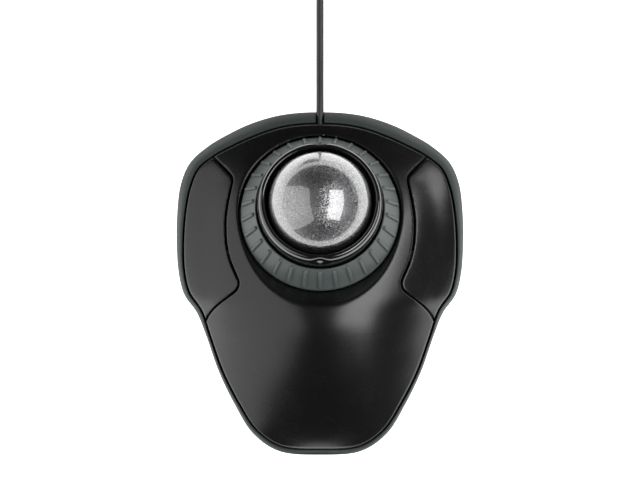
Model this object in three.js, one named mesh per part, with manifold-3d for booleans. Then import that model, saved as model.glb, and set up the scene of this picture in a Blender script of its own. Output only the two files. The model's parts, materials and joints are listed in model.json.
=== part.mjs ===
// A corded trackball mouse: a palm-rest housing with two side buttons, and a scroll ring that
// turns round a 40 mm ball on an axis leaning towards the cable.
// Millimetres. +Z is up, +Y points to the cable end and +X to the user's right.
// The origin lies on the table, under the middle of the housing.
import * as THREE from 'three';
import { mergeVertices } from 'three/addons/utils/BufferGeometryUtils.js';
import Module from 'manifold-3d';

const wasm = await Module();
wasm.setup();

// ---------------------------------------------------------------- driving dimensions

// Right half of the housing's outline, from the cable end to the front: x, y, width of the bumper band.
const OUTLINE = [
  [0, 67.9, 4.4], [10, 67.5, 4.5], [19, 66, 4.75], [28.5, 62.9, 5], [37, 58.8, 4.8], [44.6, 54.2, 4.4],
  [51.5, 47.9, 4], [55.2, 39.5, 3.9], [56.6, 29, 3.2], [56.9, 17, 2.6], [56.2, 5, 2.2],
  [53.9, -4.4, 2.1], [48.8, -11.8, 1.9], [45.1, -21, 1.3], [40.1, -35.2, 1.3], [33.8, -48.2, 1.5],
  [26.6, -59.6, 1.8], [15.8, -66.8, 1.9], [0, -68.1, 1.9],
];
// Height of the housing along its middle: y, z.
const CREST = [
  [72, 5.4], [64, 8.6], [58.5, 11.9], [51, 15.6], [43, 19.6], [35, 23.2], [27.5, 26.2], [18, 29.2],
  [9, 31.4], [1.5, 32.6], [-4, 32.8], [-9, 32.5], [-16, 31.2], [-24, 28.6], [-36, 23.8], [-47, 18.6],
  [-55, 14.2], [-60.5, 10.6], [-65, 6.6], [-72, -2],
];
// Seam round the right button, from the cable end to the front: x, y.
const SEAM = [
  [56, 63.6], [49, 56.6], [42.2, 49.8], [35.6, 43.2], [34.4, 40.9], [34.9, 37.5], [36, 32], [36.8, 26.5],
  [36.9, 21], [36.4, 15], [35, 9.2], [32.5, 3.2], [31.7, 1], [31.9, -1.2], [33.2, -3], [36.4, -5.4],
  [40.4, -8.5], [43.3, -11.6], [45.3, -15.2], [47, -19.5],
];

const EDGE_HEIGHT = 7.2;          // height of the cover's edge at y = 0
const EDGE_RISE = 0.018;          // how fast that height grows towards the cable
const SHOULDER_POWER = 2.1;        // squareness of the housing's cross-section
const SKIN = 2.2;                 // wall thickness of the cover and buttons
const EDGE_GAP = 0.8;             // gap between cover and bumper band
const SEAM_GAP = 0.8;             // gap between a button and the cover
const UNDERSIDE = 1.2;            // height of the lower shell's underside
const FLOOR = 3.2;                // height of its inner floor
const CLEARANCE = 0.3;            // gap between pieces that touch

const TILT = THREE.MathUtils.degToRad(15.5);  // lean of the ball and ring axis towards the cable
const BALL = new THREE.Vector3(0, 31.2, 33.5);
const BALL_RADIUS = 20;
const RING_DROP = 13.8;           // from the ball's centre down the axis to the ring's outer edge
const RING_OUTER = 31;
const RING_INNER = 24.6;
const RING_RISE = 9.2;            // from the ring's outer edge up to its inner edge
const RING_RIBS = 30;
const ENCODER_SLOTS = 16;
const WELL_RADIUS = 31.7;         // hole in the cover round the ring
const WELL_FLARE = 0.4;          // rise of the well's wall per mm away from the ring
const WELL_FILLET = 0.5;
const WELL_DEPTH = 4;
const SOCKET_INNER = 21;
const SOCKET_DEPTH = 23;          // from the ball's centre to the socket's flat underside
const BEARING_RADIUS = 1.5;

const HINGE = new THREE.Vector3(39.5, -1, 11);  // right button's hinge pin
const SWITCH = new THREE.Vector2(41, 17);       // right switch
const BOARD_BOTTOM = 6;
const BOARD_THICKNESS = 1.6;

const CABLE_RADIUS = 1.5;
const CABLE_EXIT_Z = 5.3;
const COIL_CENTRE = new THREE.Vector2(-22.5, 146);
const COIL_RADIUS = 18;           // at the middle of its turns
const COIL_SECTION = 12.2;        // four turns wide and four high
const COIL_BOTTOM = 0.9;
// The cable's free stretch, laid by hand: out of the grommet, down to the table and back to the coil.
const CABLE_ROUTE = [
  [0, 62.5, 5.3], [0, 66, 5.3], [0, 70, 5.1], [0, 75, 4.4], [0, 80, 3.4], [0, 85, 2.5], [0, 91, 1.9],
  [0, 98, 1.65], [0, 106, 1.6], [0, 115, 1.65], [0, 124, 1.9], [0, 134, 2.4],
];
// From the coil to the plug.
const TAIL_ROUTE = [[-34.7, 168.5, 4.9], [-37.5, 168.5, 4.6], [-40.5, 168.5, 4.3], [-43.5, 168.5, 4.2]];
const PLUG_START = new THREE.Vector3(-43.8, 168.5, 4.2);

// ---------------------------------------------------------------- materials

function plastic(color, roughness) {
  return new THREE.MeshStandardMaterial({ color, roughness, metalness: 0 });
}

function metal(color, roughness) {
  return new THREE.MeshStandardMaterial({ color, roughness, metalness: 1 });
}

const softBlack = plastic(0x1b1b1c, 0.5);
const glossBlack = plastic(0x0a0a0b, 0.12);
const greyGreen = plastic(0x4c5553, 0.5);
const darkPlastic = plastic(0x202224, 0.6);
const rubber = plastic(0x1c1c1c, 0.85);
const cableJacket = plastic(0x141414, 0.6);
const circuitGreen = plastic(0x1d5a34, 0.5);
const ivory = plastic(0xe8e4d6, 0.5);
const whitePlastic = plastic(0xe6e6e6, 0.4);
const clearPlastic = plastic(0xd8e4ea, 0.1);
const ruby = plastic(0xa8182a, 0.15);
const labelGrey = plastic(0xb9bcbc, 0.6);
const ballPaint = new THREE.MeshStandardMaterial({ color: 0x55575a, roughness: 0.2, metalness: 0.6 });
const steel = metal(0xb8bcc0, 0.3);

// ---------------------------------------------------------------- solids from geometry

// Position-only copy with shared vertices and no zero-area triangles, faces pointing out.
function meshData(geometry) {
  const bare = geometry.clone();
  bare.deleteAttribute('normal');
  bare.deleteAttribute('uv');
  const merged = mergeVertices(bare, 1e-4);
  const position = merged.getAttribute('position').array;
  const kept = [];
  let volume = 0;
  const a = new THREE.Vector3();
  const b = new THREE.Vector3();
  const c = new THREE.Vector3();
  for (let i = 0; i < merged.index.count; i += 3) {
    const [p, q, r] = [0, 1, 2].map((k) => merged.index.getX(i + k));
    if (p === q || q === r || r === p) continue;
    kept.push([p, q, r]);
    a.fromArray(position, 3 * p);
    b.fromArray(position, 3 * q);
    c.fromArray(position, 3 * r);
    volume += a.dot(b.cross(c));
  }
  const triangles = volume < 0 ? kept.map(([p, q, r]) => [p, r, q]) : kept;
  return { vertices: Float32Array.from(position), triangles: Uint32Array.from(triangles.flat()) };
}

function solid(geometry) {
  const { vertices, triangles } = meshData(geometry);
  return new wasm.Manifold(new wasm.Mesh({ numProp: 3, vertProperties: vertices, triVerts: triangles }));
}

function geometryOf(body) {
  const mesh = body.getMesh();
  const geometry = new THREE.BufferGeometry();
  geometry.setAttribute('position', new THREE.BufferAttribute(Float32Array.from(mesh.vertProperties), 3));
  geometry.setIndex(new THREE.BufferAttribute(Uint32Array.from(mesh.triVerts), 1));
  geometry.computeVertexNormals();
  return geometry;
}

function joined(first, ...others) {
  return others.reduce((sum, other) => sum.add(other), first);
}

function cut(first, ...others) {
  return others.reduce((rest, other) => rest.subtract(other), first);
}

function mesh(name, shape, material) {
  const geometry = geometryOf(shape instanceof wasm.Manifold ? shape : solid(shape));
  const result = new THREE.Mesh(geometry, material);
  result.name = name;
  return result;
}

// ---------------------------------------------------------------- basic shapes

function box(width, depth, height, x, y, z) {
  return new THREE.BoxGeometry(width, depth, height).translate(x, y, z);
}

function upright(radius, bottom, top, x, y, sides = 16) {
  const geometry = new THREE.CylinderGeometry(radius, radius, top - bottom, sides);
  return geometry.rotateX(Math.PI / 2).translate(x, y, (bottom + top) / 2);
}

// A body turned about Z from a closed profile of [radius, height] points.
function turned(profile, sides) {
  const loop = profile[0][0] === 0 ? profile : [...profile, profile[0]];
  const points = loop.map(([radius, height]) => new THREE.Vector2(radius, height));
  return new THREE.LatheGeometry(points, sides).rotateX(Math.PI / 2);
}

function prism(points, bottom, top) {
  const shape = new THREE.Shape(points.map(([x, y]) => new THREE.Vector2(x, y)));
  const geometry = new THREE.ExtrudeGeometry(shape, { depth: top - bottom, bevelEnabled: false });
  return geometry.translate(0, 0, bottom);
}

function tube(route, radius, steps, sides = 8) {
  const path = new THREE.CatmullRomCurve3(route.map((point) => new THREE.Vector3(...point)));
  const section = [...Array(sides).keys()].map((i) => {
    const angle = (2 * Math.PI * (i + 0.5)) / sides;
    return new THREE.Vector2(radius * Math.cos(angle), radius * Math.sin(angle));
  });
  const settings = { steps, bevelEnabled: false, extrudePath: path };
  return new THREE.ExtrudeGeometry(new THREE.Shape(section), settings);
}

// Skin through closed rings of equal length, closed at both ends by fans, or back to the first ring.
function loft(rings, capped) {
  const size = rings[0].length;
  const points = rings.flat();
  const index = [];
  const bands = capped ? rings.length - 1 : rings.length;
  for (let i = 0; i < bands; i += 1) {
    const next = (i + 1) % rings.length;
    for (let j = 0; j < size; j += 1) {
      const k = (j + 1) % size;
      index.push(i * size + j, i * size + k, next * size + k);
      index.push(i * size + j, next * size + k, next * size + j);
    }
  }
  if (capped) {
    for (const [ring, turn] of [[0, 1], [rings.length - 1, -1]]) {
      const centre = rings[ring].reduce((sum, p) => sum.add(p), new THREE.Vector3()).divideScalar(size);
      points.push(centre);
      for (let j = 0; j < size; j += 1) {
        const pair = [ring * size + j, ring * size + ((j + 1) % size)];
        if (turn > 0) pair.reverse();
        index.push(pair[0], pair[1], points.length - 1);
      }
    }
  }
  const geometry = new THREE.BufferGeometry().setFromPoints(points);
  geometry.setIndex(index);
  return geometry;
}

// ---------------------------------------------------------------- the housing's surface

const outlineCurve = new THREE.CatmullRomCurve3(
  [...OUTLINE, ...OUTLINE.slice(1, -1).reverse().map(([x, y, band]) => [-x, y, band])]
    .map((point) => new THREE.Vector3(...point)),
  true,
  'catmullrom',
  0.5,
);

const HALF_SAMPLES = 320;
const halfOutline = [...Array(HALF_SAMPLES + 1).keys()]
  .map((i) => outlineCurve.getPoint(i / HALF_SAMPLES / 2));

function halfWidth(y) {
  const below = halfOutline.findIndex((point) => point.y <= y);
  if (below < 1) return 0.01;
  const [high, low] = [halfOutline[below - 1], halfOutline[below]];
  return THREE.MathUtils.lerp(low.x, high.x, (y - low.y) / (high.y - low.y));
}

// Smooth curve through [position, value] points whose positions fall.
function curveThrough(points, at) {
  const last = points.length - 3;
  const i = THREE.MathUtils.clamp(points.findIndex(([position]) => position <= at) - 1, 1, last);
  const slope = (k) => (points[k + 1][1] - points[k - 1][1]) / (points[k + 1][0] - points[k - 1][0]);
  const [[x0, z0], [x1, z1]] = [points[i], points[i + 1]];
  const span = x1 - x0;
  const t = (at - x0) / span;
  return z0 * (1 + 2 * t) * (1 - t) ** 2 + slope(i) * span * t * (1 - t) ** 2
    + z1 * t * t * (3 - 2 * t) + slope(i + 1) * span * t * t * (t - 1);
}

const axis = new THREE.Vector3(0, Math.sin(TILT), Math.cos(TILT));
const wellCentre = BALL.clone().addScaledVector(axis, -RING_DROP);

// Height of the outer skin: a rounded hump, cut by the flared well that the ring sits in.
function skinHeight(x, y) {
  const edge = EDGE_HEIGHT + EDGE_RISE * y;
  const across = Math.min(Math.abs(x) / halfWidth(y), 1);
  const hump = edge + (curveThrough(CREST, y) - edge) * (1 - across ** SHOULDER_POWER);
  const back = y - wellCentre.y;
  const reach = Math.hypot(x, back / Math.cos(TILT)) - WELL_RADIUS;
  const well = wellCentre.z - back * Math.tan(TILT) + WELL_FLARE * reach;
  return (hump + well - Math.hypot(hump - well, WELL_FILLET)) / 2;
}

// The outline moved inwards, at a height; inset and height take the outline's point with its band width.
const RING_POINTS = 60;
function outlineRing(inset, height) {
  return [...Array(RING_POINTS).keys()].map((i) => {
    const point = outlineCurve.getPoint(i / RING_POINTS);
    const tangent = outlineCurve.getTangent(i / RING_POINTS);
    const length = Math.hypot(tangent.x, tangent.y);
    const band = point.z;
    const x = point.x + (tangent.y / length) * inset(band);
    const y = point.y - (tangent.x / length) * inset(band);
    return new THREE.Vector3(x, y, height(x, y, band));
  });
}

const coverEdge = outlineRing((band) => band + EDGE_GAP, () => 0);
const wellEdge = coverEdge.map(({ x, y }) => {
  const angle = Math.atan2((y - wellCentre.y) / Math.cos(TILT), x);
  const back = WELL_RADIUS * Math.sin(angle) * Math.cos(TILT);
  return new THREE.Vector3(WELL_RADIUS * Math.cos(angle), wellCentre.y + back, 0);
});

// Ring of skin points a fraction of the way from the well to the cover's edge, lowered by depth.
function skinRing(fraction, depth) {
  return coverEdge.map((edge, i) => {
    const { x, y } = wellEdge[i].clone().lerp(edge, fraction);
    return new THREE.Vector3(x, y, skinHeight(x, y) - depth);
  });
}

function skinShell() {
  const steps = 8;
  const fractions = [...Array(steps + 1).keys()].map((i) => (i / steps) ** 1.6);
  const outside = fractions.map((fraction) => skinRing(fraction, 0));
  const inside = [1, 0.72, 0.46, 0.26, 0.12, 0].map((fraction) => skinRing(fraction, SKIN));
  const lip = skinRing(0, 0).map((point) => point.addScaledVector(axis, -WELL_DEPTH));
  const lipBack = skinRing(0.12, SKIN + 0.01).map((point, i) => lip[i].clone().lerp(point, 0.3));
  return solid(loft([...outside, ...inside.slice(0, -1), lipBack, lip], false));
}

// The seam as a closed outline that reaches past the housing's side, moved outwards by grow.
function buttonOutline(side, grow) {
  const curve = new THREE.SplineCurve(SEAM.map(([x, y]) => new THREE.Vector2(x, y)));
  const samples = 3 * (SEAM.length - 1);
  const seam = [...Array(samples + 1).keys()].map((i) => {
    const point = curve.getPoint(i / samples);
    const tangent = curve.getTangent(i / samples);
    return [point.x + tangent.y * grow, point.y - tangent.x * grow];
  });
  const far = 80;
  const outline = [...seam, [far, seam.at(-1)[1]], [far, seam[0][1]]];
  return outline.map(([x, y]) => [side * x, y]);
}

// ---------------------------------------------------------------- screws and their bosses

const CASE_SCREWS = [[30, 49.5], [-30, 49.5], [22, -46], [-22, -46]];
const SOCKET_SCREWS = [[0, 38], [14, 15.5], [-14, 15.5]];
const BOARD_SCREWS = [[35, 11], [-35, 11]];
const SCREW_RADIUS = 1.2;
const HEAD_RADIUS = 2.5;
const HEAD_HEIGHT = 1.4;
const BOSS_RADIUS = 3.2;
const BOSS_TOP = 6;
const ROOT = 0.5;                 // how far a boss or fork is sunk in the floor it stands on
const PIN_RADIUS = 1;

function screw(name, [x, y], headBottom, tip) {
  const head = solid(upright(HEAD_RADIUS, headBottom, headBottom + HEAD_HEIGHT, x, y, 12));
  const shank = solid(upright(SCREW_RADIUS, headBottom + HEAD_HEIGHT / 2, tip, x, y, 8));
  const recess = solid(box(0.5, 2 * HEAD_RADIUS * 0.7, 0.8, x, y, headBottom + 0.3));
  const crossRecess = solid(box(2 * HEAD_RADIUS * 0.7, 0.5, 0.8, x, y, headBottom + 0.3));
  return mesh(name, cut(joined(head, shank), recess, crossRecess), steel);
}

function socketBottom(y) {
  const middle = BALL.clone().addScaledVector(axis, -SOCKET_DEPTH);
  return middle.z - (y - middle.y) * Math.tan(TILT);
}

// ---------------------------------------------------------------- housing

function hingeFork(side, end) {
  const bottom = FLOOR - ROOT;
  const top = HINGE.z + 2;
  return solid(box(1.6, 4.6, top - bottom, side * HINGE.x + end * 3.1, HINGE.y, (top + bottom) / 2));
}

function hingeRod(side, radius, length) {
  const rod = new THREE.CylinderGeometry(radius, radius, length, 12).rotateZ(Math.PI / 2);
  return rod.translate(side * HINGE.x, HINGE.y, HINGE.z);
}

function baseShell() {
  const top = (x, y) => skinHeight(x, y) - 0.2;
  const rings = [
    outlineRing(() => 1.1, () => UNDERSIDE),
    outlineRing(() => 0.25, () => UNDERSIDE + 0.7),
    outlineRing(() => 0, () => 3.4),
    outlineRing((band) => 0.3 * band, (x, y) => THREE.MathUtils.lerp(3.4, top(x, y), 0.62)),
    outlineRing((band) => 0.62 * band, (x, y) => top(x, y) - 0.7),
    outlineRing((band) => 0.8 * band, (x, y) => top(x, y)),
    outlineRing((band) => band, (x, y) => top(x, y) - 0.2),
    outlineRing((band) => band + 0.2, () => FLOOR),
  ];
  const notch = solid(box(3.6, 12, 20, 0, 66, CABLE_EXIT_Z - 1.85 + 10));
  const bosses = CASE_SCREWS.map(([x, y]) => solid(upright(BOSS_RADIUS + 0.8, FLOOR - ROOT, BOSS_TOP, x, y)));
  const posts = SOCKET_SCREWS.map(([x, y]) => (
    solid(upright(BOSS_RADIUS, FLOOR - ROOT, socketBottom(y + BOSS_RADIUS) - CLEARANCE, x, y))));
  const stands = BOARD_SCREWS.map(([x, y]) => (
    solid(upright(BOSS_RADIUS, FLOOR - ROOT, BOARD_BOTTOM - CLEARANCE, x, y))));
  const forks = [1, -1].flatMap((side) => [-1, 1].map((end) => hingeFork(side, end)));
  const pinHoles = [1, -1].map((side) => solid(hingeRod(side, PIN_RADIUS + CLEARANCE, 12)));
  const cradle = solid(box(9, 4, 3, 0, 60.2, FLOOR + 1));
  const boreProfile = [
    [0, 56], [2.4, 56], [2.4, 59.2], [3.2, 59.2], [3.2, 61.4], [2.4, 61.4], [2.4, 63], [0, 63],
  ];
  const grommetBore = solid(alongY(boreProfile, 16));
  const grommetMouth = solid(box(4.8, 8, 10, 0, 59, CABLE_EXIT_Z + 5));
  const flangeMouth = solid(box(6.4, 2.2, 10, 0, 60.3, CABLE_EXIT_Z + 5));
  const screwHoles = [...CASE_SCREWS, ...SOCKET_SCREWS].flatMap(([x, y]) => [
    solid(upright(HEAD_RADIUS + CLEARANCE, 0, UNDERSIDE + HEAD_HEIGHT + 0.5, x, y)),
    solid(upright(SCREW_RADIUS + CLEARANCE, 0, 20, x, y, 12)),
  ]);
  const boardHoles = BOARD_SCREWS.map(([x, y]) => (
    solid(upright(SCREW_RADIUS + CLEARANCE, FLOOR + 0.4, 10, x, y, 12))));
  const whole = joined(solid(loft(rings, true)), ...bosses, ...posts, ...stands, ...forks, cradle);
  const openings = [notch, grommetBore, grommetMouth, flangeMouth];
  return mesh('base_shell', cut(whole, ...openings, ...pinHoles, ...screwHoles, ...boardHoles), greyGreen);
}

// Lowest height of the skin's middle over a post, so that the post's top stays inside the wall.
function postTop(x, y) {
  const around = [0, 1, 2, 3, 4, 5, 6, 7].map((i) => {
    const angle = (Math.PI / 4) * i;
    return skinHeight(x + BOSS_RADIUS * Math.cos(angle), y + BOSS_RADIUS * Math.sin(angle));
  });
  return Math.min(...around) - SKIN / 2 + 0.3;
}

function topCover(skin) {
  const openings = [1, -1].map((side) => solid(prism(buttonOutline(side, SEAM_GAP / 2), 0, 50)));
  const posts = CASE_SCREWS.map(([x, y]) => (
    solid(upright(BOSS_RADIUS, BOSS_TOP + CLEARANCE, postTop(x, y), x, y))));
  const holes = CASE_SCREWS.map(([x, y]) => (
    solid(upright(SCREW_RADIUS + CLEARANCE, 4, postTop(x, y) - 1, x, y, 12))));
  return mesh('top_cover', cut(joined(cut(skin, ...openings), ...posts), ...holes), softBlack);
}

function sideButton(skin, side) {
  const region = solid(prism(buttonOutline(side, -SEAM_GAP / 2), 0, 50));
  const x = side * HINGE.x;
  const roof = skinHeight(x, HINGE.y) - SKIN + 0.6;
  const bottom = HINGE.z - 2.4;
  const ear = solid(box(3.8, 4.2, roof - bottom, x, HINGE.y, (roof + bottom) / 2));
  const pinHole = solid(hingeRod(side, PIN_RADIUS + CLEARANCE, 6));
  const name = side > 0 ? 'right_button' : 'left_button';
  return mesh(name, cut(joined(skin.intersect(region), ear), pinHole), softBlack);
}

function hingePin(side) {
  return mesh(side > 0 ? 'right_hinge_pin' : 'left_hinge_pin', hingeRod(side, PIN_RADIUS, 7.8), steel);
}

const FEET = [[0, -54], [38, -8], [-38, -8], [36, 44], [-36, 44]];

function rubberFoot(number, x, y) {
  return mesh(`rubber_foot_${number}`, upright(4.5, 0, UNDERSIDE - CLEARANCE, x, y, 20), rubber);
}

// ---------------------------------------------------------------- ball, ring and socket

// These shapes stand round the Z axis with the ball's centre at 0; the assembly leans them by TILT.

function scrollRing() {
  const top = RING_RISE - RING_DROP;
  const profile = [
    [RING_OUTER, -RING_DROP - 0.9], [RING_OUTER, -RING_DROP], [RING_INNER + 0.7, top],
    [RING_INNER + 0.2, top], [RING_INNER, top - 0.4], [RING_INNER, -RING_DROP - 1.6],
    [26.2, -RING_DROP - 1.6], [26.2, top - 4.6], [28.6, -RING_DROP - 0.9],
  ];
  const slope = Math.atan2(RING_RISE, RING_OUTER - RING_INNER - 0.7);
  const middle = (RING_OUTER + RING_INNER + 0.7) / 2;
  const ribs = [...Array(RING_RIBS).keys()].map((i) => {
    const rib = new THREE.BoxGeometry(8, 1.5, 1.2).rotateY(slope).translate(middle, 0, top - RING_RISE / 2);
    return solid(rib.rotateZ((2 * Math.PI * (i + 0.5)) / RING_RIBS));
  });
  return mesh('scroll_ring', joined(solid(turned(profile, 48)), ...ribs), greyGreen);
}

function encoderRing() {
  const flangeTop = -RING_DROP - 1.9;
  const profile = [
    [27.3, flangeTop - 4], [28.5, flangeTop - 4], [28.5, flangeTop - 0.8], [29.4, flangeTop - 0.8],
    [29.4, flangeTop], [26.6, flangeTop], [26.6, flangeTop - 0.8], [27.3, flangeTop - 0.8],
  ];
  const wall = solid(turned(profile, 32));
  const slots = [...Array(ENCODER_SLOTS / 2).keys()].map((i) => (
    solid(box(62, 1.8, 3.4, 0, 0, flangeTop - 3).rotateZ((2 * Math.PI * (i + 0.5)) / ENCODER_SLOTS))));
  return mesh('encoder_ring', cut(wall, ...slots), darkPlastic);
}

function ballSocket() {
  const hollow = [...Array(8).keys()].map((i) => {
    const angle = THREE.MathUtils.degToRad(4 + 10.7 * i);
    return [SOCKET_INNER * Math.cos(angle), -SOCKET_INNER * Math.sin(angle)];
  });
  const flange = -RING_DROP - 1.9;
  const outside = [
    [23, -1.2], [23, flange], [26, flange], [26, flange - 1.5], [21.4, flange - 1.5], [15, -SOCKET_DEPTH],
    [hollow.at(-1)[0], -SOCKET_DEPTH],
  ];
  const cup = solid(turned([...hollow.reverse(), ...outside], 30));
  const seatRadius = BEARING_RADIUS + CLEARANCE + 0.05;
  const seats = bearingPlaces().map((place) => (
    solid(new THREE.SphereGeometry(seatRadius, 12, 8).translate(place.x, place.y, place.z))));
  const toLocal = tiltedFrame().invert();
  const screwHoles = SOCKET_SCREWS.map(([x, y]) => (
    solid(upright(SCREW_RADIUS + CLEARANCE, 0, socketBottom(y) + 2.6, x, y, 12).applyMatrix4(toLocal))));
  return mesh('ball_socket', cut(cup, ...seats, ...screwHoles), darkPlastic);
}

function tiltedFrame() {
  return new THREE.Matrix4().makeRotationX(-TILT).setPosition(BALL);
}

function bearingPlaces() {
  const down = THREE.MathUtils.degToRad(132);
  const reach = BALL_RADIUS + BEARING_RADIUS + CLEARANCE;
  return [90, 210, 330].map((degrees) => (
    new THREE.Vector3(0, 0, 0).setFromSphericalCoords(reach, down, THREE.MathUtils.degToRad(degrees))
      .applyAxisAngle(new THREE.Vector3(1, 0, 0), Math.PI / 2)));
}

function socketCollar() {
  const arc = [...Array(5).keys()].map((i) => {
    const angle = (Math.PI / 2) * (i / 4);
    return [22.4 + 1.8 * Math.cos(angle), -0.6 + 4.7 * Math.sin(angle)];
  });
  const profile = [
    [23.3, -4.4], [24.2, -4.4], ...arc, [21.6, 3.9], [21.1, 3.2], [21.1, -0.9], [23.3, -0.9],
  ];
  return mesh('socket_collar', turned(profile, 36), glossBlack);
}

function sensorParts() {
  const lens = joined(solid(upright(3.9, -22.8, -21.3, 0, 0, 20)), solid(box(12, 12, 0.9, 0, 0, -23.75)));
  const bridge = solid(upright(3.9, -23.6, -22.6, 0, 0, 20));
  return [
    mesh('sensor_lens', joined(lens, bridge), clearPlastic),
    mesh('sensor_chip', box(9, 9, 1.2, 0, 0, -25.1), darkPlastic),
    mesh('sensor_board', box(19, 14, 1.2, 0, 0, -26.6), circuitGreen),
  ];
}

function encoderSensor() {
  const base = -RING_DROP - 9.6;
  const block = solid(box(6.4, 7, 4.4, 27.9, 0, base + 2.2));
  const groove = solid(box(2.4, 8, 3.4, 27.9, 0, base + 3.3));
  return mesh('encoder_sensor', cut(block, groove), darkPlastic);
}

// ---------------------------------------------------------------- electronics

function mainBoard() {
  const outline = [
    [-50, 12], [-43, 5], [-24, 4], [-20, -34], [20, -34], [24, 4], [43, 5], [50, 12], [49, 28], [36, 33],
    [-36, 33], [-49, 28],
  ];
  const plate = solid(prism(outline, BOARD_BOTTOM, BOARD_BOTTOM + BOARD_THICKNESS));
  const window = solid(box(23, 24, 10, 0, 23.5, BOARD_BOTTOM));
  const postHoles = SOCKET_SCREWS.slice(1).map(([x, y]) => solid(upright(BOSS_RADIUS + 0.5, 0, 20, x, y)));
  const screwHoles = BOARD_SCREWS.map(([x, y]) => (
    solid(upright(SCREW_RADIUS + CLEARANCE, 0, 20, x, y, 12))));
  return mesh('main_board', cut(plate, window, ...postHoles, ...screwHoles), circuitGreen);
}

function switchParts(side) {
  const name = side > 0 ? 'right' : 'left';
  const x = side * SWITCH.x;
  const bottom = BOARD_BOTTOM + BOARD_THICKNESS + CLEARANCE;
  const roof = skinHeight(SWITCH.x + 0.6, SWITCH.y + 1.5) - SKIN - CLEARANCE;
  const top = skinHeight(SWITCH.x + 3, SWITCH.y + 6.4) - SKIN - 1.3;
  const body = solid(box(6, 12.8, top - bottom, x, SWITCH.y, (top + bottom) / 2));
  const bore = solid(box(1.8, 3.6, 3, x, SWITCH.y, top));
  const plunger = box(1.2, 3, roof - top + 0.9, x, SWITCH.y, (roof + top - 0.9) / 2);
  return [
    mesh(`${name}_switch_body`, cut(body, bore), darkPlastic),
    mesh(`${name}_switch_plunger`, plunger, whitePlastic),
  ];
}

// ---------------------------------------------------------------- cable

function alongY(profile, sides) {
  return turned(profile, sides).rotateX(-Math.PI / 2).translate(0, 0, CABLE_EXIT_Z);
}

function cableGrommet() {
  const profile = [
    [0, 57.2], [2.1, 57.2], [2.1, 59.5], [2.9, 59.5], [2.9, 61.1], [2.1, 61.1], [1.9, 62.2], [0, 62.2],
  ];
  return mesh('cable_grommet', alongY(profile, 16), rubber);
}

function innerCable() {
  const top = BOARD_BOTTOM + BOARD_THICKNESS;
  const route = [
    [0, 56.6, 5.2], [-0.5, 54.2, 4.8], [-8, 50.5, 4.7], [-20, 47, 4.8], [-27, 42, 5.5], [-30, 36, 8],
    [-30, 29.5, 9.8],
  ];
  return [
    mesh('cable_lead', tube(route, 1.2, 14), cableJacket),
    mesh('board_connector', box(9, 5, 4.4, -30, 26.6, top + CLEARANCE + 2.2), ivory),
  ];
}

function cableCoil() {
  const [inner, outer] = [COIL_RADIUS - COIL_SECTION / 2, COIL_RADIUS + COIL_SECTION / 2];
  const [bottom, top, corner] = [COIL_BOTTOM, COIL_BOTTOM + COIL_SECTION, 1.2];
  const profile = [
    [inner + corner, bottom], [outer - corner, bottom], [outer, bottom + corner], [outer, top - corner],
    [outer - corner, top], [inner + corner, top], [inner, top - corner], [inner, bottom + corner],
  ];
  return mesh('cable_coil', turned(profile, 40).translate(COIL_CENTRE.x, COIL_CENTRE.y, 0), cableJacket);
}

function cableTie() {
  const middle = COIL_BOTTOM + COIL_SECTION / 2;
  const hole = COIL_SECTION + 2 * CLEARANCE;
  const strap = cut(solid(box(hole + 1, 5, hole + 1, 0, 0, middle)), solid(box(hole, 6, hole, 0, 0, middle)));
  return mesh('cable_tie', strap.translate([COIL_CENTRE.x - COIL_RADIUS, COIL_CENTRE.y, 0]), rubber);
}

function plug() {
  const { x, y, z } = PLUG_START;
  const neck = new THREE.CylinderGeometry(2.9, 2.1, 8, 16).rotateZ(Math.PI / 2).translate(x - 4, y, z);
  const grip = box(22, 13.6, 8, x - 18, y, z);
  const shell = cut(solid(box(14, 12, 4.5, x - 36.3, y, z)), solid(box(16, 11.2, 3.7, x - 36.3, y, z)));
  const insulator = box(11, 10.4, 1.6, x - 34.8, y, z + 0.7);
  return [
    mesh('plug_overmould', joined(solid(neck), solid(grip)), rubber),
    mesh('plug_shell', shell, steel),
    mesh('plug_insulator', insulator, whitePlastic),
  ];
}

// ---------------------------------------------------------------- assembly

const skin = skinShell();
const mouse = new THREE.Group();

mouse.add(baseShell(), topCover(skin));
for (const side of [-1, 1]) {
  mouse.add(sideButton(skin, side), hingePin(side), ...switchParts(side));
}
FEET.forEach(([x, y], i) => mouse.add(rubberFoot(i + 1, x, y)));
CASE_SCREWS.forEach((place, i) => mouse.add(screw(`case_screw_${i + 1}`, place, UNDERSIDE + 0.4, 9)));
SOCKET_SCREWS.forEach((place, i) => (
  mouse.add(screw(`socket_screw_${i + 1}`, place, UNDERSIDE + 0.4, socketBottom(place[1]) + 1.8))));
BOARD_SCREWS.forEach((place, i) => {
  const boardTop = BOARD_BOTTOM + BOARD_THICKNESS + CLEARANCE;
  const fastener = screw(`board_screw_${i + 1}`, [0, 0], 0, 5);
  fastener.rotation.x = Math.PI;
  fastener.position.set(place[0], place[1], boardTop + HEAD_HEIGHT);
  mouse.add(fastener);
});
mouse.add(mesh('rating_label', box(30, 18, 0.4, 0, -26, UNDERSIDE - CLEARANCE - 0.2), labelGrey));

const tilted = new THREE.Group();
tilted.position.copy(BALL);
tilted.rotation.x = -TILT;
tilted.add(mesh('trackball', new THREE.SphereGeometry(BALL_RADIUS, 32, 18), ballPaint));
tilted.add(scrollRing(), encoderRing(), encoderSensor(), ballSocket(), socketCollar(), ...sensorParts());
bearingPlaces().forEach((place, i) => {
  const bearing = mesh(`bearing_ball_${i + 1}`, new THREE.SphereGeometry(BEARING_RADIUS, 12, 8), ruby);
  bearing.position.copy(place);
  tilted.add(bearing);
});
mouse.add(tilted);

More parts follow.
